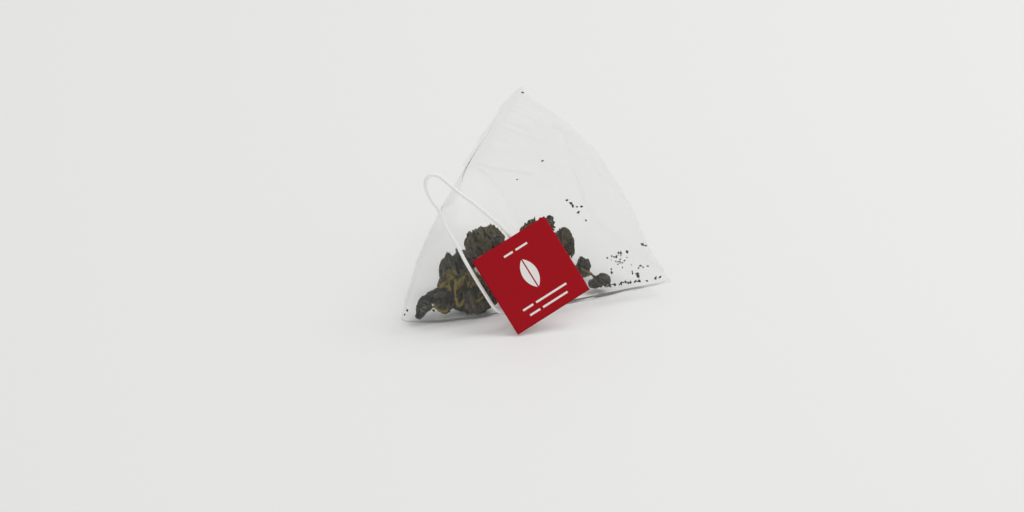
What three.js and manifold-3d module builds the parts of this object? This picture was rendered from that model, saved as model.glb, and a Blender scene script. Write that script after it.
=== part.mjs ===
// Pyramid tea bag: a soft mesh pouch with four corners, rolled tea leaves inside it,
// a square card tag leaning on its front wall and the limp string between the two.
// Millimetres, +Z up. +X runs along the front seal, the front wall faces -Y.
import * as THREE from 'three';
import { mergeVertices } from 'three/addons/utils/BufferGeometryUtils.js';
import Module from 'manifold-3d';

const wasm = await Module();
wasm.setup();

// The pouch is a tube of mesh welded flat at both ends, one weld turned square to the other.
const HALF_SEAL = 33; // half of each weld's length
const CORNER_LIFT = 3.5; // the two front corners stand this high, over the sagging base
const APEX = new THREE.Vector3(33, 9.8, 52.7);
const REAR_CORNER = new THREE.Vector3(35.3, 59, 12.6); // the stiff film holds this corner up
const FRONT_SEAL_Y = 1.2;
const FIN = 1.4; // width of the welded strip beyond each seal
const WALL = 0.4;
const AROUND = 48; // points round the tube
const ALONG = 22; // rings from seal to seal
const CAVITY_START = 0.045; // the cavity begins and ends this share of the tube from a seal
const VENT_RADIUS = 0.45; // an unwelded spot high in the rear seal, which lets the inside breathe

const TAG_SIDE = 20;
const TAG_THICK = 0.35;
const TAG_LOW_CORNER = new THREE.Vector3(24.9, -9.6, 0.35);
const TAG_EDGE_DIRECTION = new THREE.Vector3(18.37, 1.83, 8.11); // low corner to right corner
const TAG_RISE_DIRECTION = new THREE.Vector3(-8.05, 9.6, 15.8); // low corner to left corner

const STRING_DIAMETER = 0.85;
const STRING_SIDES = 8;
const STRING_STEPS = 64;

// The group's origin is under the middle of the standing pouch.
const PLAN_X = -33;
const PLAN_Y = -29.9;

const across = new THREE.Vector3(1, 0, 0);
const frontMiddle = new THREE.Vector3(HALF_SEAL, FRONT_SEAL_Y, CORNER_LIFT);
const rearMiddle = APEX.clone().add(REAR_CORNER).multiplyScalar(0.5);
const alongRear = REAR_CORNER.clone().sub(APEX).normalize();
const tubeAxis = rearMiddle.clone().sub(frontMiddle).normalize();
const halfRear = APEX.distanceTo(REAR_CORNER) / 2;
const down = new THREE.Vector3(0, 0, -1);
const forward = new THREE.Vector3(0, -1, 0);

// How far an air-filled side stands out past its straight line, at share t of the tube.
function swell(t, height, skew) {
  return height * Math.sin(Math.PI * Math.pow(t, skew));
}

// Half-sizes of the tube's ring at share t, towards -X, +X, the apex and the rear corner.
function ringReach(t) {
  const left = HALF_SEAL * (1 - t) + swell(t, 3.7, 0.96);
  const right = HALF_SEAL * (1 - t) + swell(t, 11.2, 1.47);
  const front = halfRear * t + swell(t, 3.4, 1.8);
  const base = halfRear * t;
  return { left, right, front, base };
}

function signedPower(value, power) {
  return Math.sign(value) * Math.pow(Math.abs(value), power);
}

// One ring: a superellipse, squarer near the seals and rounder at the middle of the tube.
// Its lower side sags under the leaves, and near the rear seal it follows that seal's bow.
function ring(t, inset, centre) {
  const reach = ringReach(t);
  const squareness = 2.1 + 2.5 * Math.pow(2 * Math.abs(t - 0.5), 2);
  const turn = Math.min(t / 0.15, 1);
  const thin = down.clone().lerp(alongRear, turn).normalize();
  const points = [];
  for (let i = 0; i < AROUND; i++) {
    const angle = (2 * Math.PI * i) / AROUND;
    const c = signedPower(Math.cos(angle), 2 / squareness);
    const s = signedPower(Math.sin(angle), 2 / squareness);
    const sideways = Math.max(c > 0 ? reach.right : reach.left, 2 * inset + WALL) - inset;
    const upDown = Math.max(s > 0 ? reach.base : reach.front, 2 * inset + WALL) - inset;
    const p = centre.clone().addScaledVector(across, sideways * c).addScaledVector(thin, upDown * s);
    const share = THREE.MathUtils.clamp((s + 1) / 2, 0, 1);
    p.addScaledVector(down, swell(t, 8, 0.75) * Math.max(s, 0));
    p.addScaledVector(tubeAxis, swell(share, 1.2, 0.55) * Math.pow(t, 5));
    p.z = Math.max(p.z, inset);
    points.push(p);
  }
  return points;
}

function tubeCentre(t) {
  return frontMiddle.clone().lerp(rearMiddle, t);
}

// A closed skin over a list of rings, with a flat fan at each end.
function skin(rings) {
  const positions = [];
  for (const points of rings) {
    for (const p of points) positions.push(p.x, p.y, p.z);
  }
  const ends = [rings[0], rings[rings.length - 1]];
  for (const points of ends) {
    const middle = new THREE.Vector3();
    for (const p of points) middle.addScaledVector(p, 1 / points.length);
    positions.push(middle.x, middle.y, middle.z);
  }
  const firstMiddle = rings.length * AROUND;
  const lastMiddle = firstMiddle + 1;
  const lastRing = (rings.length - 1) * AROUND;
  const faces = [];
  for (let i = 0; i < AROUND; i++) {
    const j = (i + 1) % AROUND;
    for (let k = 0; k < rings.length - 1; k++) {
      const a = k * AROUND + i;
      const b = k * AROUND + j;
      faces.push(a, a + AROUND, b, b, a + AROUND, b + AROUND);
    }
    faces.push(firstMiddle, i, j);
    faces.push(lastMiddle, lastRing + j, lastRing + i);
  }
  const geometry = new THREE.BufferGeometry();
  geometry.setAttribute('position', new THREE.BufferAttribute(new Float32Array(positions), 3));
  geometry.setIndex(faces);
  return geometry;
}

function toSolid(geometry) {
  const bare = new THREE.BufferGeometry();
  bare.setAttribute('position', geometry.getAttribute('position').clone());
  bare.setIndex(geometry.index);
  const merged = mergeVertices(bare, 1e-3);
  const mesh = new wasm.Mesh({
    numProp: 3,
    vertProperties: new Float32Array(merged.attributes.position.array),
    triVerts: new Uint32Array(merged.index.array),
  });
  const solid = new wasm.Manifold(mesh);
  if (solid.volume() >= 0) return solid;
  mesh.triVerts.forEach((_, i, list) => {
    if (i % 3 === 0) [list[i], list[i + 1]] = [list[i + 1], list[i]];
  });
  return new wasm.Manifold(mesh);
}

function fromSolid(solid) {
  const mesh = solid.getMesh();
  const count = mesh.numVert;
  const positions = new Float32Array(count * 3);
  for (let i = 0; i < count; i++) {
    for (let k = 0; k < 3; k++) positions[3 * i + k] = mesh.vertProperties[mesh.numProp * i + k];
  }
  const geometry = new THREE.BufferGeometry();
  geometry.setAttribute('position', new THREE.BufferAttribute(positions, 3));
  geometry.setIndex(new THREE.BufferAttribute(mesh.triVerts, 1));
  return geometry;
}

function pouchGeometry() {
  const outer = [];
  outer.push(ring(0, 0, frontMiddle.clone().addScaledVector(forward, FIN)));
  for (let k = 0; k <= ALONG; k++) {
    const t = k / ALONG;
    outer.push(ring(t, 0, tubeCentre(t)));
  }
  outer.push(ring(1, 0, rearMiddle.clone().addScaledVector(tubeAxis, FIN)));
  const inner = [];
  for (let k = 0; k <= ALONG; k++) {
    const t = CAVITY_START + ((1 - 2 * CAVITY_START) * k) / ALONG;
    inner.push(ring(t, WALL, tubeCentre(t)));
  }
  const vent = new THREE.CylinderGeometry(VENT_RADIUS, VENT_RADIUS, 12, 8);
  vent.rotateX(Math.PI / 2);
  vent.translate(APEX.x + 0.4, APEX.y + 11, APEX.z - 7.6);
  return fromSolid(toSolid(skin(outer)).subtract(toSolid(skin(inner))).subtract(toSolid(vent)));
}

// A rolled leaf: a lumpy ball, stretched, turned about Z and set in the pile.
function leafGeometry(index, [x, y, z], [sx, sy, sz], turnDegrees) {
  const geometry = new THREE.IcosahedronGeometry(1, 2);
  const position = geometry.getAttribute('position');
  const p = new THREE.Vector3();
  for (let i = 0; i < position.count; i++) {
    p.fromBufferAttribute(position, i).normalize();
    const lobes = Math.sin(3 * p.x + index) * Math.sin(3 * p.y + 2 * index) + 0.5 * Math.sin(5 * p.z - index);
    p.multiplyScalar(0.93 + 0.07 * lobes);
    position.setXYZ(i, p.x * sx, p.y * sy, p.z * sz);
  }
  geometry.rotateZ(THREE.MathUtils.degToRad(turnDegrees));
  geometry.translate(x, y, z);
  return geometry;
}

// Centre, half-sizes and turn about Z of each rolled leaf, from the front left to the right.
const LEAVES = [
  { at: [16.2, 8, 5.3], half: [8.8, 3.5, 4.1], turn: 3 },
  { at: [19.9, 18.4, 6.3], half: [4.7, 4.2, 5.1], turn: 0 },
  { at: [29.8, 28.8, 6.8], half: [4.9, 4.3, 4.2], turn: 20 },
  { at: [30.6, 21.4, 10.4], half: [1.9, 1.4, 1.5], turn: 30 },
  { at: [27.3, 13.6, 4.9], half: [3, 3.3, 3.6], turn: 0 },
  { at: [33.6, 19.2, 5], half: [3.2, 2.9, 3.8], turn: 0 },
  { at: [30.2, 7.2, 4.4], half: [2.8, 2.7, 2.8], turn: 0 },
  { at: [36.8, 7.9, 4.3], half: [3.4, 2.6, 2.7], turn: 0 },
  { at: [43.4, 13, 3.9], half: [3, 3.4, 3], turn: 0 },
  { at: [36.4, 13.2, 4.2], half: [2.9, 2.5, 3.2], turn: 0 },
  { at: [43.6, 29.9, 6.7], half: [2.7, 3.1, 3.9], turn: 0 },
  { at: [39.8, 23.4, 10.2], half: [2.8, 2.6, 3.2], turn: 0 },
  { at: [48, 23.4, 6.4], half: [3, 3.3, 4], turn: 0 },
  { at: [49.6, 15.2, 3.9], half: [2.3, 2.4, 2.8], turn: 0 },
  { at: [51.1, 8.6, 3.2], half: [2.8, 2, 2.1], turn: -15 },
  { at: [38.4, 26.6, 3.9], half: [2.9, 2.8, 2.9], turn: 0 },
];

function tagGeometry() {
  const edge = TAG_EDGE_DIRECTION.clone().normalize();
  const rise = TAG_RISE_DIRECTION.clone().addScaledVector(edge, -TAG_RISE_DIRECTION.dot(edge)).normalize();
  const face = edge.clone().cross(rise);
  const geometry = new THREE.BoxGeometry(TAG_SIDE, TAG_SIDE, TAG_THICK);
  geometry.translate(TAG_SIDE / 2, TAG_SIDE / 2, 0);
  geometry.applyMatrix4(new THREE.Matrix4().makeBasis(edge, rise, face));
  geometry.translate(TAG_LOW_CORNER.x, TAG_LOW_CORNER.y, TAG_LOW_CORNER.z);
  return geometry;
}

// From the weld on the front seal, up the front wall, round a free loop and down to the tag's back.
const STRING_ROUTE = [
  [30.4, -1.6, 4.9],
  [28.4, -2.2, 4.9],
  [26.2, -3, 4.6],
  [24, -3.7, 4.2],
  [22.4, -3.9, 4.2],
  [21.1, -3.2, 5.3],
  [20, -2, 7.3],
  [17.6, -0.4, 11.9],
  [15.5, 0.5, 16.1],
  [14, 2.2, 19.8],
  [13.5, 4, 22.4],
  [12.8, 5.5, 24.6],
  [10.9, 6.2, 27.4],
  [9.2, 6.8, 30.2],
  [8.4, 8, 33],
  [8.8, 8.2, 34.8],
  [9.9, 8.3, 35.4],
  [11.6, 8.1, 35],
  [14, 7.6, 32.8],
  [16.4, 6.4, 30.5],
  [18.7, 4, 28.9],
  [20.6, 2.4, 27.2],
  [22.8, 2, 25],
  [25.4, 2.5, 22.2],
  [27.1, 1.8, 19.6],
  [27.8, 0.5, 17.2],
  [28.2, -0.8, 15],
];

function stringGeometry() {
  const curve = new THREE.CatmullRomCurve3(STRING_ROUTE.map(([x, y, z]) => new THREE.Vector3(x, y, z)));
  const section = new THREE.Shape();
  for (let i = 0; i < STRING_SIDES; i++) {
    const angle = (2 * Math.PI * i) / STRING_SIDES;
    const x = (STRING_DIAMETER / 2) * Math.cos(angle);
    const y = (STRING_DIAMETER / 2) * Math.sin(angle);
    if (i === 0) section.moveTo(x, y);
    else section.lineTo(x, y);
  }
  section.closePath();
  return new THREE.ExtrudeGeometry(section, { steps: STRING_STEPS, extrudePath: curve });
}

function material(colour, roughness, opacity = 1) {
  return new THREE.MeshStandardMaterial({
    color: colour,
    roughness,
    metalness: 0,
    opacity,
    transparent: opacity < 1,
  });
}

const bag = new THREE.Group();
bag.name = 'pyramid_tea_bag';

function add(name, geometry, look) {
  const mesh = new THREE.Mesh(geometry, look);
  mesh.name = name;
  mesh.position.set(PLAN_X, PLAN_Y, 0);
  bag.add(mesh);
}

add('mesh_pouch', pouchGeometry(), material(0xe6e7e4, 0.6, 0.35));
LEAVES.forEach(({ at, half, turn }, i) => {
  const name = 'tea_leaf_' + String(i + 1).padStart(2, '0');
  add(name, leafGeometry(i + 1, at, half, turn), material(i % 3 === 0 ? 0x4a4d2a : 0x33382c, 0.75));
});
add('string', stringGeometry(), material(0xf1f1ee, 0.85));
add('tag', tagGeometry(), material(0xa0171f, 0.45));

export default bag;
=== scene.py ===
"""Looks of a pyramid tea bag: mesh pouch, rolled leaves, cotton string and red card tag, in the CAD's frame."""
import math

import bmesh
import bpy
import numpy as np
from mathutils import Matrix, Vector


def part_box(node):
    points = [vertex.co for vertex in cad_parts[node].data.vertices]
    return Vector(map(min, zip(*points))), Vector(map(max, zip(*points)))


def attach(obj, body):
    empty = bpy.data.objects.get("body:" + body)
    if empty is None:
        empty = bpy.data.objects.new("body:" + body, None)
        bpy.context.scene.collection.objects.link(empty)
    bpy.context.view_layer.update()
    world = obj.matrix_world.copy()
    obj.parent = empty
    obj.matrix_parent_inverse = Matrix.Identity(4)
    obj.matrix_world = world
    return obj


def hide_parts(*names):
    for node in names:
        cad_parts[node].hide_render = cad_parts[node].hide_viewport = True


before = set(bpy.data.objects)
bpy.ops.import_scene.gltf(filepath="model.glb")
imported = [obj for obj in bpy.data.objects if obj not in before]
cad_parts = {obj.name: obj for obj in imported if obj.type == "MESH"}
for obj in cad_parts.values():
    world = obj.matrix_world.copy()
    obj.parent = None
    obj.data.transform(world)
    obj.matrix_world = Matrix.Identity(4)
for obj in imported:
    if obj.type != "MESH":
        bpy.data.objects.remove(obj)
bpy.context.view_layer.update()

MM = 0.001
PLAN = np.array([-33.0, -29.9, 0.0])  # from the front left corner to the origin, in millimetres

# The pouch is a tube of film welded flat at both ends. Millimetres from its front left corner.
HALF_SEAL = 33.0
CORNER_LIFT = 3.5
APEX = np.array([33.0, 9.8, 52.7])
REAR_CORNER = np.array([35.3, 59.0, 12.6])
FRONT_MIDDLE = np.array([HALF_SEAL, 1.2, CORNER_LIFT])
REAR_MIDDLE = (APEX + REAR_CORNER) / 2
ACROSS = np.array([1.0, 0.0, 0.0])
ALONG_REAR = (REAR_CORNER - APEX) / np.linalg.norm(REAR_CORNER - APEX)
TUBE_AXIS = (REAR_MIDDLE - FRONT_MIDDLE) / np.linalg.norm(REAR_MIDDLE - FRONT_MIDDLE)
HALF_REAR = np.linalg.norm(REAR_CORNER - APEX) / 2
FIN = 0.9  # width of each welded strip
WEB_WIDTH = 132.0  # the flat web, round the tube
WEB_LENGTH = 58.0  # the flat web, from weld to weld
FILM = 0.10  # thickness of the mesh
SEAL_HANG = 1.8  # how far the front seal hangs under the leaves
WELD_DENSITY = 0.2  # how dense the welded strips look
AROUND = 236  # points round the tube
ALONG = 176  # rings along it
RING_CROWDING = 0.22  # how much closer the rings stand at the seals

TAG_SIDE = 20.0
TAG_THICK = 0.34
STRING_DIAMETER = 0.85
TWIST_LENGTH = 2.6  # length of string in which its strands go round once


# ---------------------------------------------------------------- meshes


def grid_faces(rows, columns, wrap):
    """Quads of a grid of points stored row by row; with wrap the last column joins the first."""
    j = np.arange(columns if wrap else columns - 1)
    i = np.arange(rows - 1)[:, None]
    k = (j + 1) % columns
    here = i * columns
    beyond = here + columns
    return np.stack([here + j, here + k, beyond + k, beyond + j], -1).reshape(-1, 4)


def make_object(name, points, faces, material, uv=None, attributes=None, smooth=True):
    """A mesh object from an array of points in millimetres from the front left corner and an array of quads."""
    mesh = bpy.data.meshes.new(name)
    verts = (np.asarray(points).reshape(-1, 3) + PLAN) * MM
    corners = faces.shape[1]
    mesh.vertices.add(len(verts))
    mesh.vertices.foreach_set("co", verts.astype(np.float32).ravel())
    mesh.loops.add(faces.size)
    mesh.loops.foreach_set("vertex_index", faces.astype(np.int32).ravel())
    mesh.polygons.add(len(faces))
    mesh.polygons.foreach_set("loop_start", np.arange(0, faces.size, corners, dtype=np.int32))
    mesh.update(calc_edges=True)
    if uv is not None:
        layer = mesh.uv_layers.new(name="web")
        layer.data.foreach_set("uv", uv.astype(np.float32).ravel())
    for key, values in (attributes or {}).items():
        layer = mesh.attributes.new(key, "FLOAT", "POINT")
        layer.data.foreach_set("value", np.asarray(values, dtype=np.float32).ravel())
    mesh.polygons.foreach_set("use_smooth", np.full(len(faces), smooth))
    mesh.materials.append(material)
    mesh.validate()
    obj = bpy.data.objects.new(name, mesh)
    bpy.context.scene.collection.objects.link(obj)
    return obj


def close_up(obj, distance=1e-6):
    """Merges doubles, as at a pole, and turns every face outwards."""
    bm = bmesh.new()
    bm.from_mesh(obj.data)
    bmesh.ops.remove_doubles(bm, verts=bm.verts, dist=distance)
    bmesh.ops.dissolve_degenerate(bm, edges=bm.edges, dist=distance)
    bmesh.ops.recalc_face_normals(bm, faces=bm.faces)
    bm.to_mesh(obj.data)
    bm.free()


def thicken(obj, thickness, back=None):
    """Gives a sheet its thickness, in millimetres, behind its front. A back material also covers the rim."""
    solid = obj.modifiers.new("thickness", "SOLIDIFY")
    solid.thickness = thickness * MM
    solid.offset = -1.0
    solid.use_rim = True
    if back:
        obj.data.materials.append(back)
        solid.material_offset = 1
        solid.material_offset_rim = 1


def signed_power(value, power):
    """The size of a value raised to a power, with the value's own sign."""
    return np.sign(value) * np.abs(value) ** power


def swell(t, height, skew):
    """A half sine wave over t from 0 to 1, its top moved by the skew."""
    return height * np.sin(np.pi * np.clip(t, 0, 1) ** skew)


def waves(points, wavelength, seed, count=14):
    """Smooth random height from -1 to 1: a mean of sine waves of one length in random directions."""
    rng = np.random.default_rng(seed)
    direction = rng.normal(size=(count, 3))
    direction /= np.linalg.norm(direction, axis=1, keepdims=True)
    length = wavelength * rng.uniform(0.7, 1.4, count)
    phase = rng.uniform(0, 2 * np.pi, count)
    angle = points @ (direction * (2 * np.pi / length[:, None])).T + phase
    return np.sin(angle).sum(-1) / math.sqrt(count) / 1.5


def to_line(points, line):
    """Each point's distance to a line of straight pieces."""
    best = np.full(points.shape[:-1], 1e9)
    for a, b in zip(line[:-1], line[1:]):
        a, b = np.array(a, float), np.array(b, float)
        share = np.clip(((points - a) @ (b - a)) / ((b - a) @ (b - a)), 0, 1)
        best = np.minimum(best, np.linalg.norm(points - a - share[..., None] * (b - a), axis=-1))
    return best


def unit(v):
    """Each vector divided by its length."""
    return v / np.maximum(np.linalg.norm(v, axis=-1, keepdims=True), 1e-9)


# ---------------------------------------------------------------- pouch

# Soft creases: points along each, how deep it is, how wide and how dense the folded film looks.
CREASES = [
    ([(35.3, 59.5, 13.5), (37, 52.7, 16.4), (41.2, 47.3, 17.1), (46.1, 40.9, 18)], -0.8, 1.1, 0.8),
    ([(37.3, 55.9, 12), (34.8, 54.2, 10.3), (32.9, 51.8, 9.5), (26.7, 41.5, 11.9), (19.4, 27, 17.7)], 0.9, 1.2, 0.8),
    ([(37.3, 55.9, 12), (39.1, 53.4, 11), (41, 49.9, 9.4), (41.9, 45.6, 7.2), (42.9, 39, 4.6)], 1.4, 1.0, 1.7),
    ([(45.5, 20.3, 36.1), (49.3, 25.9, 28.5), (51.4, 30.3, 22.6), (53.6, 31.4, 17.3), (54.3, 31.7, 13.3)],
     0.7, 1.1, 0.3),
    ([(54.3, 31.7, 13.3), (55.8, 27.3, 9.6), (57.4, 22.8, 8.3), (59.5, 17.3, 7), (64.4, 3.8, 4.6)], 0.8, 1.1, 0.7),
    ([(43.8, 8.5, 42.2), (47.6, 8.1, 36.4)], -0.35, 0.9, 0.1),
    ([(13.6, 11.3, 21.6), (14.6, 5, 18.7)], -0.6, 1.0, 0.4),
    ([(34.8, 3.6, 31.5), (37.8, 3.7, 30.3)], -0.35, 0.8, 0.9),
    ([(33.6, 6.9, 47.4), (35.3, 6.1, 45.4)], -0.35, 0.8, 0.8),
    ([(4.1, 3.4, 8.5), (10.2, 9.4, 17.5)], 0.45, 1.3, 0.1),
]


def ring_reach(t):
    """Half-sizes of the tube's ring at share t: left, right, towards the apex and towards the rear corner."""
    left = HALF_SEAL * (1 - t) + swell(t, 3.7, 0.96)
    right = HALF_SEAL * (1 - t) + swell(t, 11.2, 1.47)
    front = HALF_REAR * t + swell(t, 3.4, 1.8)
    base = HALF_REAR * t
    return left, right, front, base


def tube_rings(t, thin, dense=1440):
    """One superellipse per t, squarer near the seals: across times a signed power of the cosine plus upright
    times a signed power of the sine. The lower side sags under the leaves, and towards the rear seal the ring
    follows that seal's bow. The points are then spaced evenly along the ring."""
    angle = np.linspace(0, 2 * np.pi, dense + 1)[None, :]
    t = t[:, None]
    left, right, front, base = ring_reach(t)
    squareness = 2.1 + 2.5 * (2 * np.abs(t - 0.5)) ** 2
    c = signed_power(np.cos(angle), 2 / squareness)
    s = signed_power(np.sin(angle), 2 / squareness)
    sideways = np.maximum(np.where(c > 0, right, left), thin)
    upright = np.maximum(np.where(s > 0, base, front), thin)
    turn = np.clip(t / 0.15, 0, 1)[..., None]
    rise = unit((1 - turn) * np.array([0, 0, -1.0]) + turn * ALONG_REAR)
    middle = FRONT_MIDDLE + (REAR_MIDDLE - FRONT_MIDDLE) * t[..., None]
    rings = middle + (sideways * c)[..., None] * ACROSS + (upright * s)[..., None] * rise
    rings[..., 2] -= swell(t, 8, 0.75) * np.maximum(s, 0)
    rings += (swell((s + 1) / 2, 1.5, 0.55) * t**5)[..., None] * TUBE_AXIS
    steps = np.linalg.norm(np.diff(rings, axis=1), axis=2)
    gone = np.concatenate([np.zeros((len(rings), 1)), np.cumsum(steps, axis=1)], axis=1)
    even = np.linspace(0, 1, AROUND + 1)[:-1]
    out = np.empty((len(rings), AROUND, 3))
    for i, ring in enumerate(rings):
        for axis in range(3):
            out[i, :, axis] = np.interp(even * gone[i, -1], gone[i], ring[:, axis])
    return out


def pouch_points():
    """The tube from seal to seal with its two welded strips. Rings are spaced closer at the seals. The film then
    moves along its normal by soft waves, by small puckers that fade away from each weld and by the creases. The
    front seal hangs by a skewed half sine across it that fades along the tube, and what sags under the standing
    plane is smoothly laid on it."""
    s = np.linspace(0, 1, ALONG)
    t = s - RING_CROWDING * np.sin(2 * np.pi * s) / (2 * np.pi)
    points = tube_rings(t, thin=FILM * 1.4)
    around = np.gradient(np.concatenate([points[:, -1:], points, points[:, :1]], 1), axis=1)[:, 1:-1]
    along = np.gradient(points, axis=0)
    normal = unit(np.cross(around, along))
    u = np.linspace(0, 1, AROUND, endpoint=False)[None, :]
    to_front = t[:, None] * WEB_LENGTH
    to_rear = (1 - t[:, None]) * WEB_LENGTH
    free = np.clip(np.minimum(to_front, to_rear) / 3, 0, 1)
    pucker = np.sin(2 * np.pi * (17 * u + 0.25 * np.sin(2 * np.pi * 3 * u))) * 0.5
    pucker = pucker + np.sin(2 * np.pi * (29 * u + 0.4 * np.sin(2 * np.pi * 2 * u + 1))) * 0.35
    shift = 0.30 * waves(points, 17, 3) + 0.10 * waves(points, 7, 4)
    shift = shift + 0.26 * pucker * (np.exp(-to_front / 3.4) + np.exp(-to_rear / 3.4))
    fold = np.zeros(shift.shape)
    for line, depth, width, dense in CREASES:
        away = to_line(points, line)
        shift = shift + depth * np.exp(-away / width)
        fold = np.maximum(fold, dense * np.exp(-((away / 0.6) ** 2)))
    points = points + normal * (shift * free)[..., None]
    share = np.clip(points[..., 0] / (2 * HALF_SEAL), 0, 1)
    points[..., 2] -= swell(share, SEAL_HANG, 0.6) * (1 - t[:, None]) ** 4
    front_strip = []
    rear_strip = []
    steps = np.linspace(1, 0, 6)[:-1]
    x = points[0][:, 0]
    wavy = 0.22 * np.sin(x / 4.1 + 0.6) + 0.12 * np.sin(x / 1.7)
    for k in steps:
        ring = points[0] + np.array([0, -FIN * k, 0])
        ring[:, 2] += wavy * k - 0.3 * k
        front_strip.append(ring)
        way = points[-1] @ ALONG_REAR
        ring = points[-1] + TUBE_AXIS * FIN * k
        ring[:, 0] += (0.25 * np.sin(way / 3.7) + 0.1 * np.sin(way / 1.9 + 1)) * k
        rear_strip.append(ring)
    points = np.concatenate([front_strip, points, rear_strip[::-1]])
    edge = np.full((len(steps), AROUND), WELD_DENSITY)
    fold = np.concatenate([edge, fold, edge])
    lift = points[..., 2]
    points[..., 2] = 0.5 * (lift + np.sqrt(lift**2 + 0.5**2)) + 0.02
    web_y = np.concatenate([-steps * FIN, t * WEB_LENGTH, WEB_LENGTH + steps[::-1] * FIN])
    return points, fold, web_y


def build_pouch(material):
    """The film as one thin sheet. Its map is the flat web: millimetres round and along, over the web's width."""
    points, fold, web_y = pouch_points()
    rows = len(points)
    faces = grid_faces(rows, AROUND, wrap=True)[:, ::-1]
    j = np.arange(AROUND)
    i = np.arange(rows - 1)[:, None]
    u0 = np.broadcast_to(j / AROUND * WEB_WIDTH, (rows - 1, AROUND))
    u1 = np.broadcast_to((j + 1) / AROUND * WEB_WIDTH, (rows - 1, AROUND))
    v0 = np.broadcast_to(web_y[i], (rows - 1, AROUND))
    v1 = np.broadcast_to(web_y[i + 1], (rows - 1, AROUND))
    corners = [(u0, v0), (u1, v0), (u1, v1), (u0, v1)][::-1]
    uv = np.stack([np.stack(c, -1) for c in corners], 2).reshape(-1, 2) / WEB_WIDTH
    pouch = make_object("mesh_pouch_film", points, faces, material, uv=uv, attributes={"fold": fold})
    thicken(pouch, FILM)
    return pouch, points


# ---------------------------------------------------------------- leaves

# Each rolled leaf: the CAD node it stands for, how far its spine curls and how much it twists, in radians,
# how many turns its blade is rolled, and how olive its light parts are.
LEAVES = [
    ("tea_leaf_02", 1.2, 2.4, 1.5, 0.2),
    ("tea_leaf_03", 1.5, 3.0, 1.5, 0.55),
    ("tea_leaf_04", 1.6, 2.0, 1.2, 0.1),
    ("tea_leaf_05", 1.4, 3.4, 1.5, 0.7),
    ("tea_leaf_06", 1.6, 2.6, 1.6, 0.3),
    ("tea_leaf_07", 1.2, 3.0, 1.5, 0.6),
    ("tea_leaf_08", 1.4, 3.5, 1.4, 0.2),
    ("tea_leaf_09", 1.8, 2.8, 1.5, 0.3),
    ("tea_leaf_10", 1.3, 3.2, 1.6, 0.4),
    ("tea_leaf_11", 1.4, 2.5, 1.5, 0.2),
    ("tea_leaf_12", 1.9, 3.1, 1.4, 0.4),
    ("tea_leaf_13", 1.3, 3.5, 1.6, 0.6),
    ("tea_leaf_14", 1.6, 2.9, 1.5, 0.15),
    ("tea_leaf_15", 1.3, 3.0, 1.4, 0.15),
    ("tea_leaf_16", 1.7, 2.9, 1.5, 0.3),
]
# The long leaf at the front left is made of four blades, its body, its olive top, an arm and a curled lobe: the
# path of each, its radius, twist, turns and how olive it is.
LONG_LEAF = [
    ([(12.4, 6.4, 3.9), (16.5, 6.0, 3.9), (20.5, 5.8, 4.1), (25.0, 5.4, 3.4)], 3.7, 4.6, 1.5, 0.35),
    ([(11.6, 7.6, 6.2), (14.6, 7.4, 7.6), (18.2, 7.0, 7.4), (21.5, 6.8, 6.4), (24.0, 6.8, 5.2)],
     2.8, 3.2, 1.5, 1.0),
    ([(16.4, 8.4, 6.6), (11.6, 7.8, 5.2), (8.3, 6.8, 4.3), (6.2, 5.0, 3.3), (5.0, 3.8, 1.8)],
     1.6, 6.0, 1.4, 0.15),
    ([(12.8, 7.0, 5.6), (11.7, 6.2, 4.6), (12.1, 5.0, 3.1), (12.6, 4.2, 1.9)], 1.75, 4.0, 1.2, 0.2),
]
# Its midrib and its curled yellow edges: the path of each and its radius.
RIBS = [
    ([(11.0, 6.4, 7.4), (12.6, 6.0, 8.9), (14.0, 5.8, 9.9), (14.5, 5.0, 9.1), (14.2, 4.0, 7.2), (14.1, 3.4, 5.7)],
     0.42),
    ([(14.1, 3.5, 5.9), (14.5, 3.1, 4.2), (15.0, 3.1, 3.7), (16.1, 3.1, 5.2)], 0.5),
    ([(8.9, 4.4, 4.2), (10.5, 3.7, 2.8), (11.9, 3.3, 2.8), (12.1, 3.3, 3.7)], 0.42),
    ([(18.9, 3.1, 4.2), (20.2, 3.0, 4.8), (20.8, 3.2, 5.4)], 0.4),
]
# Leaves that lie a little off their CAD leaf's box, and by how much.
LIE_LOWER = (0.0, 0.0, -0.8)
NUDGES = {
    "tea_leaf_05": LIE_LOWER,
    "tea_leaf_06": LIE_LOWER,
    "tea_leaf_07": LIE_LOWER,
    "tea_leaf_08": LIE_LOWER,
    "tea_leaf_09": LIE_LOWER,
    "tea_leaf_10": LIE_LOWER,
    "tea_leaf_13": (-0.6, 0.0, 0.2),
    "tea_leaf_14": (0.0, 0.0, -0.65),
    "tea_leaf_15": (0.0, -0.8, -0.6),
    "tea_leaf_16": LIE_LOWER,
}
# A lobe that stands up behind the tag's top corner, as the long leaf's blades are given.
LOBE_PATH = [(41.0, 24.0, 9.6), (43.0, 24.6, 10.2), (44.6, 25.0, 11.4), (45.4, 25.2, 12.8)]
LOBES = {"tea_leaf_12": (LOBE_PATH, 1.7, 3.0, 1.3, 0.2)}
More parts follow.
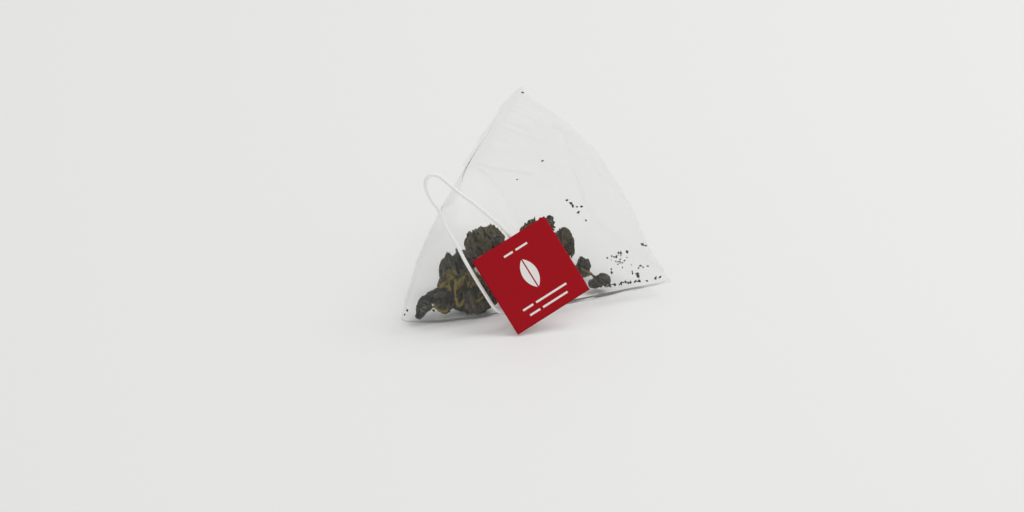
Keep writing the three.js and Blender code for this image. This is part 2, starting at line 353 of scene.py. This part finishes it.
# Stalks, by the leaf they are part of: the path of each and its radius.
STEMS = {
    "tea_leaf_01": [([(20, 6, 8.6), (22.4, 5.4, 9.4), (23.6, 5.8, 10.6)], 0.3)],
    "tea_leaf_15": [([(50.6, 8.2, 2.9), (50.0, 10.2, 3.5), (48.8, 12.3, 3.8), (49.0, 14.4, 3.6)], 0.45)],
}
LEAF_LONG = 130  # rows along a blade
LEAF_WIDE = 56  # points across it
LEAF_THICK = 0.16
ROLLED_RADIUS = 0.34  # of a rolled leaf, as a share of its spine's length
ROLLED_PALER = 0.26  # how much paler the rolled leaves are than the long leaf
ROLLED_OLIVE = 0.65
LONG_LEAF_CONTRAST = 1.5
BEHIND_FRONT_WALL = 3.1  # about how far back the long leaf starts


def rolled_blade(path, radius, twist, turns, seed):
    """A blade rolled about a path. At share s along and w across, from -1 to 1, the blade stands at an angle of
    w times its turns in half turns, plus the twist, at a radius that tapers to both ends and grows from the
    inner edge to the outer. It is then crumpled along its normal by ridged waves of three sizes, and its outer
    edge is ragged."""
    rng = np.random.default_rng(seed)
    middle, out, side = (part[:, None] for part in frames(smooth_path(path, LEAF_LONG)))
    s = np.linspace(0, 1, LEAF_LONG)[:, None]
    w = np.linspace(-1, 1, LEAF_WIDE)[None, :]
    taper = np.sin(np.pi * (0.05 + 0.90 * s)) ** 0.55
    uneven = 1 + 0.18 * np.sin(7 * s + rng.uniform(0, 6)) + 0.10 * np.sin(17 * s + rng.uniform(0, 6))
    width = radius * taper * uneven
    ragged = 1 + 0.10 * np.sin(31 * s + rng.uniform(0, 6)) + 0.07 * np.sin(57 * s + rng.uniform(0, 6))
    angle = np.pi * turns * w * ragged + twist * s + 0.7 * np.sin(5 * s + rng.uniform(0, 6))
    reach = width * (0.50 + 0.50 * (w + 1) / 2)
    round_way = np.cos(angle)[..., None] * out + np.sin(angle)[..., None] * side
    points = middle + reach[..., None] * round_way
    warped = points / radius + 0.35 * np.stack([waves(points / radius, 0.9, seed + k) for k in (5, 6, 7)], -1)
    big = 1 - 2 * np.abs(waves(warped, 1.5, seed + 50))
    medium = 1 - 2 * np.abs(waves(warped, 0.62, seed + 90))
    fine = 1 - 2 * np.abs(waves(warped, 0.26, seed + 130))
    shift = radius * taper * (0.21 * big + 0.16 * medium + 0.09 * fine)
    points = points + round_way * shift[..., None]
    # Painted shade in the grooves and painted highlight on the ridges, from the same ridged waves that crumple the
    # blade; the paler outer edges are the leaf's own colour.
    shade_and_tone = np.clip(0.16 + 0.22 * big + 0.26 * medium + 0.20 * fine, 0, 1) + 0.5 * np.abs(w) ** 10
    return points, np.clip(shade_and_tone, 0, 1)


def curled_spine(curl, seed):
    """Points on an arc of the given angle, one unit long, that also rises and falls a little."""
    bend = curl * (np.linspace(0, 1, 9) - 0.5)
    wobble = 0.10 * np.sin(2 * bend + seed)
    return np.stack([np.sin(bend) / curl, (1 - np.cos(bend)) / curl, wobble], -1)


def stem(path, radius, sides=10, steps=26):
    """A thin bent stalk: rings round a smooth path, a little flattened, whose size falls along it, swells and
    thins in waves and closes to a point at both ends."""
    line = smooth_path(path, steps)
    middle, out, side = frames(line)
    angle = np.linspace(0, 2 * np.pi, sides, endpoint=False)
    share = np.linspace(0, 1, len(line))
    closed = np.clip(np.minimum(share, 1 - share) * 14, 0, 1) ** 0.5
    size = radius * closed * (1 - 0.3 * share) * (1 + 0.22 * np.sin(19 * share))
    ring = np.cos(angle)[None, :, None] * out[:, None] + 0.75 * np.sin(angle)[None, :, None] * side[:, None]
    return middle[:, None] + ring * size[:, None, None]


def smooth_path(points, count):
    """Evenly spaced points on a Catmull-Rom curve through the given points."""
    p = np.array(points, float)
    p = np.concatenate([[2 * p[0] - p[1]], p, [2 * p[-1] - p[-2]]])
    x = np.linspace(0, len(p) - 3 - 1e-9, 24 * len(p))
    i = x.astype(int)
    f = (x - i)[:, None]
    a, b, c, d = p[i], p[i + 1], p[i + 2], p[i + 3]
    line = 0.5 * (2 * b + (c - a) * f + (2 * a - 5 * b + 4 * c - d) * f**2 + (3 * b - a - 3 * c + d) * f**3)
    gone = np.concatenate([[0], np.cumsum(np.linalg.norm(np.diff(line, axis=0), axis=1))])
    even = np.linspace(0, gone[-1], count)
    return np.stack([np.interp(even, gone, line[:, k]) for k in range(3)], -1)


def frames(line):
    """Two directions across a path at each of its points, carried along it without spinning."""
    ahead = unit(np.gradient(line, axis=0))
    out = np.empty_like(line)
    first = np.cross(ahead[0], [0.3, 0.1, 1.0])
    out[0] = first / np.linalg.norm(first)
    for k in range(1, len(line)):
        v = out[k - 1] - ahead[k] * (out[k - 1] @ ahead[k])
        out[k] = v / np.linalg.norm(v)
    return line, out, np.cross(ahead, out)


def fit_to_box(points, node):
    """Scales points to the box of the CAD leaf they stand for, grown by three hundredths on each side."""
    low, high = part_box(node)
    low, high = np.array(low) / MM - PLAN, np.array(high) / MM - PLAN
    least, most = points.min((0, 1)), points.max((0, 1))
    return (points - least) / (most - least) * (high - low) * 1.06 + low - 0.03 * (high - low)


def inside_pouch(points):
    """Presses points back behind the front wall and onto the film, which slopes down from the front seal."""
    points[..., 1] = np.maximum(points[..., 1], BEHIND_FRONT_WALL + 0.04 * points[..., 1])
    slope = np.maximum(0.6, 2.5 - 0.83 * (points[..., 1] - FRONT_MIDDLE[1]))
    points[..., 2] = np.maximum(points[..., 2], slope + 0.05 * points[..., 2])
    return points


def add_leaf(name, node, points, shade_and_tone, olive, material):
    """One blade as a thin sheet, with its lightness at each point, painted shade and highlight included, and one
    olive share all over.
    """
    blade = make_object(
        name,
        points,
        grid_faces(LEAF_LONG, LEAF_WIDE, wrap=False),
        material,
        attributes={"fold": shade_and_tone, "olive": np.full(shade_and_tone.shape, olive)},
    )
    thicken(blade, LEAF_THICK)
    belong(blade, node)


def add_stalk(name, node, path, radius, material, olive=0.6):
    """One closed stalk, as pale as it is olive."""
    tube = stem(path, radius)
    shade_and_tone = np.full(tube.shape[:2], olive)
    faces = grid_faces(tube.shape[0], tube.shape[1], wrap=True)
    stalk = make_object(name, tube, faces, material, attributes={"fold": shade_and_tone, "olive": shade_and_tone})
    close_up(stalk)
    belong(stalk, node)


def belong(piece, node):
    """Puts a piece under the root body and hides the CAD leaf that it stands in for."""
    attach(piece, "root")
    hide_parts(node)


def build_leaves(material):
    """The long leaf's blades, the lobes, the rolled leaves, the ribs and the stalks, in that order."""
    for k, (path, radius, twist, turns, olive) in enumerate(LONG_LEAF):
        points, shade_and_tone = rolled_blade(path, radius, twist, turns, seed=300 + 11 * k)
        points = inside_pouch(points)
        add_leaf("long_leaf_%d" % (k + 1), "tea_leaf_01", points, shade_and_tone**LONG_LEAF_CONTRAST, olive, material)
    for node, (path, radius, twist, turns, olive) in LOBES.items():
        points, shade_and_tone = rolled_blade(path, radius, twist, turns, seed=401)
        add_leaf(node + "_lobe", node, points, shade_and_tone, olive, material)
    for k, (node, curl, twist, turns, olive) in enumerate(LEAVES):
        points, shade_and_tone = rolled_blade(curled_spine(curl, k), ROLLED_RADIUS, twist, turns, seed=11 + k)
        points = fit_to_box(points, node) + np.array(NUDGES.get(node, (0, 0, 0)))
        add_leaf(node + "_rolled", node, points, shade_and_tone + ROLLED_PALER, ROLLED_OLIVE * olive, material)
    for k, (path, radius) in enumerate(RIBS):
        add_stalk("long_leaf_rib_%d" % (k + 1), "tea_leaf_01", path, radius, material, olive=1.0)
    for node, stalks in STEMS.items():
        for k, (path, radius) in enumerate(stalks):
            add_stalk("%s_stalk_%d" % (node, k + 1), node, path, radius, material)


# ---------------------------------------------------------------- crumbs

# Single crumbs, by place across and up the front wall, with their length.
SINGLE_CRUMBS = [
    (33.0, 52.3, 0.8), (35.7, 36.7, 0.7), (29.6, 33.1, 0.5), (42.0, 25.9, 0.8), (42.6, 25.4, 1.1), (43.3, 24.6, 1.1),
    (44.5, 23.9, 0.6), (45.5, 24.0, 0.8), (44.8, 22.5, 1.0), (46.7, 20.3, 0.7), (26.0, 21.2, 0.9), (61.1, 11.7, 1.0),
    (61.7, 11.0, 0.8), (2.1, 4.7, 0.8), (1.4, 4.0, 0.6), (8.6, 3.9, 0.9), (64.2, 4.2, 0.8), (58.8, 4.9, 1.2),
    (58.9, 5.5, 1.0),
]
# Clusters: middle across and up, spread across and up, how many.
CRUMB_CLUSTERS = [
    (54.5, 9.8, 2.2, 1.5, 16), (53.2, 10.6, 1.0, 0.6, 5), (56.5, 7.2, 3.4, 1.6, 10), (55.5, 3.9, 6.0, 0.15, 34),
]


def crumb_points(skin):
    """Crumbs as little bent double pyramids, set just inside the front wall at random turns."""
    rng = np.random.default_rng(8)
    spots = [np.array(SINGLE_CRUMBS)]
    for x, z, dx, dz, count in CRUMB_CLUSTERS:
        size = rng.uniform(0.3, 0.95, count)
        spots.append(np.stack([rng.normal(x, dx * 0.6, count), rng.normal(z, dz * 0.6, count), size], -1))
    spots = np.concatenate(spots)
    wall = skin.reshape(-1, 3)
    wall = wall[wall[:, 1] < 12]
    gap = (wall[None, :, 0] - spots[:, None, 0]) ** 2 + (wall[None, :, 2] - spots[:, None, 1]) ** 2
    nearest = wall[(gap + 0.02 * wall[None, :, 1]).argmin(1)]
    middle = nearest + np.array([0, 0.5, 0])
    shape = np.array(
        [(1, 0, 0), (0.1, 0.62, 0), (0, 0, 0.5), (-0.1, -0.6, 0.1), (0, 0.05, -0.5), (-0.9, 0.3, 0.1)]
    )
    turn = rng.uniform(0, np.pi, len(spots))
    flat = np.stack([np.cos(turn), 0 * turn, np.sin(turn)], -1)
    up = np.stack([-np.sin(turn), 0 * turn, np.cos(turn)], -1)
    deep = np.cross(flat, up)
    jitter = rng.normal(0, 0.09, (len(spots), 6, 3))
    local = (shape + jitter) * (spots[:, 2] * 0.6)[:, None, None]
    axes = np.stack([flat, up, deep], 1)
    points = middle[:, None] + np.einsum("kij,kjl->kil", local, axes)
    one = np.array([(0, 1, 2), (0, 2, 3), (0, 3, 4), (0, 4, 1), (5, 2, 1), (5, 3, 2), (5, 4, 3), (5, 1, 4)])
    faces = (one[None] + 6 * np.arange(len(spots))[:, None, None]).reshape(-1, 3)
    return points, faces


# ---------------------------------------------------------------- string

# The string's middle line, from the front weld round the free loop to the tag's back.
STRING_ROUTE = [
    (30.8, 0.7, 1.95), (28.8, -1.0, 2.7), (26.4, -2.7, 3.8), (24.0, -3.7, 4.2), (22.4, -3.9, 4.2), (21.1, -3.2, 5.3),
    (20.0, -2.0, 7.3), (17.6, -0.4, 11.9), (15.5, 0.5, 16.1), (14.0, 2.2, 19.8), (12.7, 4.2, 22.4), (11.8, 5.6, 24.8),
    (10.9, 6.2, 27.4), (9.2, 6.8, 30.2), (8.4, 8.0, 33.0), (8.8, 8.2, 34.8), (9.9, 8.3, 35.4), (11.6, 8.1, 35.0),
    (14.0, 7.6, 32.8), (16.4, 6.4, 30.5), (18.7, 4.0, 28.9), (20.6, 2.4, 27.2), (22.8, 2.0, 25.0), (25.4, 2.5, 22.2),
    (27.1, 1.8, 19.6), (27.8, 0.5, 17.2), (28.2, -0.8, 15.0),
]


def string_points():
    """Three strands twisted together: a ring round the route whose radius rises and falls three times a turn
    and which turns steadily along it. The ends close to points."""
    line = smooth_path(STRING_ROUTE, 780)
    middle, out, side = frames(line)
    length = np.linalg.norm(np.diff(line, axis=0), axis=1).sum()
    share = np.linspace(0, 1, len(line))[:, None]
    angle = np.linspace(0, 2 * np.pi, 24, endpoint=False)[None, :]
    spin = 2 * np.pi * share * length / TWIST_LENGTH
    radius = STRING_DIAMETER / 2 * (0.80 + 0.224 * np.abs(np.cos(1.5 * (angle - spin))))
    ring = np.cos(angle)[..., None] * out[:, None] + np.sin(angle)[..., None] * side[:, None]
    points = middle[:, None] + ring * radius[..., None]
    points[0] = points[0].mean(0) * 0.98 + points[0] * 0.02
    points[-1] = points[-1].mean(0) * 0.98 + points[-1] * 0.02
    return points, line, length


# ---------------------------------------------------------------- tag

# The tag's lowest corner and the directions of its edges and of its face.
TAG_LOW = np.array([24.9, -9.6, 0.35])
TAG_EDGE = unit(np.array([18.37, 1.83, 8.11]))
TAG_RISE = np.array([-8.05, 9.6, 15.8])
TAG_RISE = unit(TAG_RISE - (TAG_RISE @ TAG_EDGE) * TAG_EDGE)
TAG_FACE = np.cross(TAG_EDGE, TAG_RISE)


def tag_points(count=40):
    """A square card whose middle bows forward, more towards its top. The grid is its front face."""
    a, b = np.meshgrid(np.linspace(0, 1, count), np.linspace(0, 1, count))
    bow = 0.22 * np.sin(np.pi * a) * (0.4 + 0.6 * b) + 0.17
    grid = TAG_LOW + TAG_SIDE * (a[..., None] * TAG_EDGE + b[..., None] * TAG_RISE) + bow[..., None] * TAG_FACE
    return grid, a, b


# ---------------------------------------------------------------- materials


def new_group(name, inputs, outputs):
    """An empty shader node group with the given sockets: each input a name, kind and value."""
    tree = bpy.data.node_groups.new(name, "ShaderNodeTree")
    for label, kind, value in inputs:
        socket = tree.interface.new_socket(name=label, in_out="INPUT", socket_type="NodeSocket" + kind)
        if value is not None:
            socket.default_value = value
    for label, kind in outputs:
        tree.interface.new_socket(name=label, in_out="OUTPUT", socket_type="NodeSocket" + kind)
    return tree, tree.nodes.new("NodeGroupInput"), tree.nodes.new("NodeGroupOutput")


def maths(tree, operation, a, b=None, c=None, clamp=False):
    """A maths node fed by sockets or plain numbers; gives its result."""
    node = tree.nodes.new("ShaderNodeMath")
    node.operation = operation
    node.use_clamp = clamp
    for socket, value in zip(node.inputs, (a, b, c)):
        if value is None:
            continue
        if isinstance(value, (int, float)):
            socket.default_value = value
        else:
            tree.links.new(value, socket)
    return node.outputs[0]


def ramp(tree, value, low, high):
    """A smooth step of a value, from 0 at low to 1 at high."""
    node = tree.nodes.new("ShaderNodeMapRange")
    node.interpolation_type = "SMOOTHSTEP"
    tree.links.new(value, node.inputs["Value"])
    node.inputs["From Min"].default_value = low
    node.inputs["From Max"].default_value = high
    return node.outputs["Result"]


def mix_colour(tree, factor, a, b):
    """Colour a where the factor is 0 and colour b where it is 1."""
    node = tree.nodes.new("ShaderNodeMix")
    node.data_type = "RGBA"
    for key, value in ((0, factor), (6, a), (7, b)):
        if isinstance(value, (int, float, tuple)):
            node.inputs[key].default_value = value
        else:
            tree.links.new(value, node.inputs[key])
    return node.outputs[2]


def noise(tree, vector, scale, detail, rough=0.55):
    """Noise from 0 to 1 at a scale, with finer layers added."""
    node = tree.nodes.new("ShaderNodeTexNoise")
    tree.links.new(vector, node.inputs["Vector"])
    node.inputs["Scale"].default_value = scale
    node.inputs["Detail"].default_value = detail
    node.inputs["Roughness"].default_value = rough
    return node.outputs["Fac"]


THREADS_ACROSS = 550.0
COVER_OF_THREAD = 0.024
COVER_OF_FILM = 0.009
COVER_OF_FOLD = 0.016
LEAST_UPRIGHT = 0.24  # how squarely the film is seen, at least, so that its outline stays clear


def woven_group():
    """Weave: threads along both directions of the web at one pitch. A spot is covered by a little film, more on a
    thread and more in a fold, divided by how squarely it is seen."""
    tree, given, result = new_group(
        "woven_film",
        [
            ("Web", "Vector", None),
            ("Threads Across", "Float", THREADS_ACROSS),
            ("Fold", "Float", 0.0),
            ("Facing", "Float", 0.0),
        ],
        [("Alpha", "Float")],
    )
    split = tree.nodes.new("ShaderNodeSeparateXYZ")
    tree.links.new(given.outputs["Web"], split.inputs[0])
    cover = []
    for axis in (0, 1):
        place = maths(tree, "MULTIPLY", split.outputs[axis], given.outputs["Threads Across"])
        wave = maths(tree, "COSINE", maths(tree, "MULTIPLY", place, 2 * math.pi))
        cover.append(ramp(tree, wave, -0.1, 0.9))
    thread = maths(tree, "MAXIMUM", cover[0], cover[1])
    solid = maths(tree, "MULTIPLY_ADD", thread, COVER_OF_THREAD, COVER_OF_FILM)
    solid = maths(tree, "MULTIPLY_ADD", given.outputs["Fold"], COVER_OF_FOLD, solid)
    upright = maths(tree, "MAXIMUM", maths(tree, "SUBTRACT", 1.0, given.outputs["Facing"]), LEAST_UPRIGHT)
    alpha = maths(tree, "DIVIDE", solid, upright, clamp=True)
    tree.links.new(alpha, result.inputs["Alpha"])
    return tree


def crumple_group():
    """Leaf surface: fine veins and crumples from noise at two sizes, added to the fold input, which on the blades
    holds painted shade in the grooves and painted highlight on the ridges; gives a lightness from 0 to 1 and a
    height.
    """
    tree, given, result = new_group(
        "leaf_crumple",
        [("Place", "Vector", None), ("Fold", "Float", 0.0)],
        [("Shade And Tone", "Float"), ("Height", "Float")],
    )
    broad = noise(tree, given.outputs["Place"], 260.0, 3.0)
    fine = noise(tree, given.outputs["Place"], 1500.0, 5.0, 0.65)
    # The fold input adds painted shade in the grooves and painted highlight on the ridges to the noise.
    shade_and_tone = maths(tree, "MULTIPLY_ADD", maths(tree, "SUBTRACT", broad, 0.5), 0.7, given.outputs["Fold"])
    shade_and_tone = maths(tree, "MULTIPLY_ADD", maths(tree, "SUBTRACT", fine, 0.5), 0.9, shade_and_tone, clamp=True)
    tree.links.new(ramp(tree, shade_and_tone, 0.05, 0.85), result.inputs["Shade And Tone"])
    tree.links.new(maths(tree, "MULTIPLY_ADD", fine, 0.6, broad), result.inputs["Height"])
    return tree


def new_material(name):
    """A new material, its nodes and its shader."""
    material = bpy.data.materials.new(name)
    material.use_nodes = True
    tree = material.node_tree
    return material, tree, tree.nodes["Principled BSDF"]


def group_node(tree, group):
    """A node that runs the given group."""
    node = tree.nodes.new("ShaderNodeGroup")
    node.node_tree = group
    return node


def attribute(tree, name):
    """The value a piece stores at its points under a name."""
    node = tree.nodes.new("ShaderNodeAttribute")
    node.attribute_name = name
    return node.outputs["Fac"]


def bump(tree, shader, height, strength, distance):
    """Raises a shader's surface by a height."""
    node = tree.nodes.new("ShaderNodeBump")
    node.inputs["Strength"].default_value = strength
    node.inputs["Distance"].default_value = distance
    tree.links.new(height, node.inputs["Height"])
    tree.links.new(node.outputs[0], shader.inputs["Normal"])


def film_material(weave):
    """White mesh, seen through between its threads."""
    material, tree, shader = new_material("pouch_mesh")
    web = tree.nodes.new("ShaderNodeUVMap")
    web.uv_map = "web"
    facing = tree.nodes.new("ShaderNodeLayerWeight")
    facing.inputs["Blend"].default_value = 0.5
    woven = group_node(tree, weave)
    tree.links.new(web.outputs[0], woven.inputs["Web"])
    tree.links.new(attribute(tree, "fold"), woven.inputs["Fold"])
    tree.links.new(facing.outputs["Facing"], woven.inputs["Facing"])
    tree.links.new(woven.outputs["Alpha"], shader.inputs["Alpha"])
    shader.inputs["Base Color"].default_value = (0.86, 0.86, 0.84, 1)
    shader.inputs["Roughness"].default_value = 0.5
    return material


LEAF_DARK = (0.014, 0.016, 0.012, 1)
LEAF_GREY = (0.088, 0.090, 0.078, 1)
LEAF_OLIVE = (0.200, 0.150, 0.022, 1)


def leaf_material(crumple):
    """Near-black green, with light parts from grey green to olive; the mix between them carries painted shade in the
    grooves and painted highlight on the ridges.
    """
    material, tree, shader = new_material("tea_leaf")
    place = tree.nodes.new("ShaderNodeTexCoord")
    leaf = group_node(tree, crumple)
    tree.links.new(place.outputs["Object"], leaf.inputs["Place"])
    # The fold attribute brings painted shade in the grooves and painted highlight on the ridges into the colour mix.
    tree.links.new(attribute(tree, "fold"), leaf.inputs["Fold"])
    light = mix_colour(tree, attribute(tree, "olive"), LEAF_GREY, LEAF_OLIVE)
    colour = mix_colour(tree, leaf.outputs["Shade And Tone"], LEAF_DARK, light)
    tree.links.new(colour, shader.inputs["Base Color"])
    shader.inputs["Roughness"].default_value = 0.6
    shader.inputs["Specular IOR Level"].default_value = 0.25
    bump(tree, shader, leaf.outputs["Height"], 0.9, 0.0006)
    return material


def string_material():
    """White cotton with fine fibres."""
    material, tree, shader = new_material("cotton_string")
    shader.inputs["Base Color"].default_value = (0.86, 0.86, 0.85, 1)
    shader.inputs["Roughness"].default_value = 0.9
    place = tree.nodes.new("ShaderNodeTexCoord")
    fibres = noise(tree, place.outputs["Object"], 5200.0, 3.0)
    bump(tree, shader, fibres, 0.5, 0.0001)
    return material


# The dashes of the tag's print: height up the tag, then where each starts and ends across it.
PRINT_DASHES = [
    (0.845, 0.34, 0.46), (0.845, 0.50, 0.66),
    (0.205, 0.20, 0.34), (0.205, 0.38, 0.80),
    (0.115, 0.24, 0.38), (0.115, 0.42, 0.76),
]
PRINT_HALF_HEIGHT = 0.012
# The leaf shape is where two circles overlap, split by a vein. All are shares of the tag's side.
SHAPE_HEIGHT = 0.53
CIRCLE_OFFSET = 0.14
CIRCLE_RADIUS = 0.235
VEIN_HALF_WIDTH = 0.008
TAG_RED = (0.345, 0.006, 0.012, 1)
PRINT_PALE = (0.78, 0.76, 0.74, 1)


def tag_material():
    """Red card with a plain pale print, a pointed leaf shape in the middle and three broken lines, and a plain
    red material for its back."""
    material, tree, shader = new_material("tag_card")
    web = tree.nodes.new("ShaderNodeUVMap")
    web.uv_map = "web"
    split = tree.nodes.new("ShaderNodeSeparateXYZ")
    tree.links.new(web.outputs[0], split.inputs[0])
    a = maths(tree, "SUBTRACT", split.outputs[0], 0.5)
    b = maths(tree, "SUBTRACT", split.outputs[1], SHAPE_HEIGHT)
    inside = []
    for sign in (-1, 1):
        x = maths(tree, "ADD", a, sign * CIRCLE_OFFSET)
        square = maths(tree, "ADD", maths(tree, "MULTIPLY", x, x), maths(tree, "MULTIPLY", b, b))
        inside.append(maths(tree, "LESS_THAN", maths(tree, "SQRT", square), CIRCLE_RADIUS))
    shape = maths(tree, "MULTIPLY", inside[0], inside[1])
    vein = maths(tree, "GREATER_THAN", maths(tree, "ABSOLUTE", a), VEIN_HALF_WIDTH)
    print_share = maths(tree, "MULTIPLY", shape, vein)
    for centre, first, last in PRINT_DASHES:
        near_b = maths(tree, "COMPARE", split.outputs[1], centre, PRINT_HALF_HEIGHT)
        near_a = maths(tree, "COMPARE", split.outputs[0], (first + last) / 2, (last - first) / 2)
        print_share = maths(tree, "MAXIMUM", print_share, maths(tree, "MULTIPLY", near_a, near_b))
    colour = mix_colour(tree, print_share, TAG_RED, PRINT_PALE)
    tree.links.new(colour, shader.inputs["Base Color"])
    back, _, plain = new_material("tag_card_back")
    plain.inputs["Base Color"].default_value = TAG_RED
    for surface in (shader, plain):
        surface.inputs["Roughness"].default_value = 0.5
        surface.inputs["Specular IOR Level"].default_value = 0.06
    return material, back


# ---------------------------------------------------------------- scene

weave = woven_group()
crumple = crumple_group()
film = film_material(weave)
leaf_look = leaf_material(crumple)

pouch, skin = build_pouch(film)
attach(pouch, "root")
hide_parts("mesh_pouch")

build_leaves(leaf_look)

points, faces = crumb_points(skin)
plain = np.full(points.shape[:2], 0.1)
looks = {"fold": plain, "olive": plain}
crumbs = make_object("leaf_crumbs", points, faces, leaf_look, attributes=looks, smooth=False)
close_up(crumbs)
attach(crumbs, "root")

points, line, length = string_points()
faces = grid_faces(points.shape[0], points.shape[1], True)
string = make_object("twisted_string", points, faces, string_material())
close_up(string, 2e-6)
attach(string, "root")
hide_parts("string")

grid, a, b = tag_points()
faces = grid_faces(grid.shape[0], grid.shape[1], False)
flat = np.stack([a.ravel()[faces], b.ravel()[faces]], -1).reshape(-1, 2)
tag_front, tag_back = tag_material()
tag = make_object("card_tag", grid, faces, tag_front, uv=flat)
thicken(tag, TAG_THICK, back=tag_back)
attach(tag, "root")
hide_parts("tag")

bpy.ops.mesh.primitive_plane_add(size=6)
floor = bpy.context.object
floor.name = "floor"
floor_look, tree, shader = new_material("pale_floor")
shader.inputs["Base Color"].default_value = (0.80, 0.80, 0.79, 1)
shader.inputs["Roughness"].default_value = 0.7
floor.data.materials.append(floor_look)

world = bpy.data.worlds.new("studio")
world.use_nodes = True
world.node_tree.nodes["Background"].inputs["Color"].default_value = (1.0, 1.0, 0.99, 1)
world.node_tree.nodes["Background"].inputs["Strength"].default_value = 0.62
bpy.context.scene.world = world


def soft_light(name, place, aim, size, power):
    """A square area light at a place, turned to face its aim."""
    data = bpy.data.lights.new(name, "AREA")
    data.shape = "SQUARE"
    data.size = size
    data.energy = power
    light = bpy.data.objects.new(name, data)
    light.location = place
    light.rotation_euler = (Vector(aim) - Vector(place)).to_track_quat("-Z", "Y").to_euler()
    bpy.context.scene.collection.objects.link(light)


soft_light("window", (0.8, 0.15, 1.2), (0, 0, 0), 0.8, 9.0)
soft_light("fill", (-0.5, -1.1, 0.7), (0, 0, 0.02), 0.9, 2.4)

VIEW_AZIMUTH = math.radians(-19.2)
VIEW_ELEVATION = math.radians(24.2)
VIEW_DISTANCE = 2.0
VIEW_AIM = Vector((0.00128, -0.00831, 0.00569))
back = Vector(
    (
        math.sin(VIEW_AZIMUTH) * math.cos(VIEW_ELEVATION),
        -math.cos(VIEW_AZIMUTH) * math.cos(VIEW_ELEVATION),
        math.sin(VIEW_ELEVATION),
    )
)
camera_data = bpy.data.cameras.new("camera")
camera_data.lens = 300
camera_data.sensor_width = 36
camera = bpy.data.objects.new("camera", camera_data)
camera.location = VIEW_AIM + back * VIEW_DISTANCE
camera.rotation_euler = (-back).to_track_quat("-Z", "Y").to_euler()
bpy.context.scene.collection.objects.link(camera)
bpy.context.scene.camera = camera
bpy.context.scene.view_settings.view_transform = "Standard"
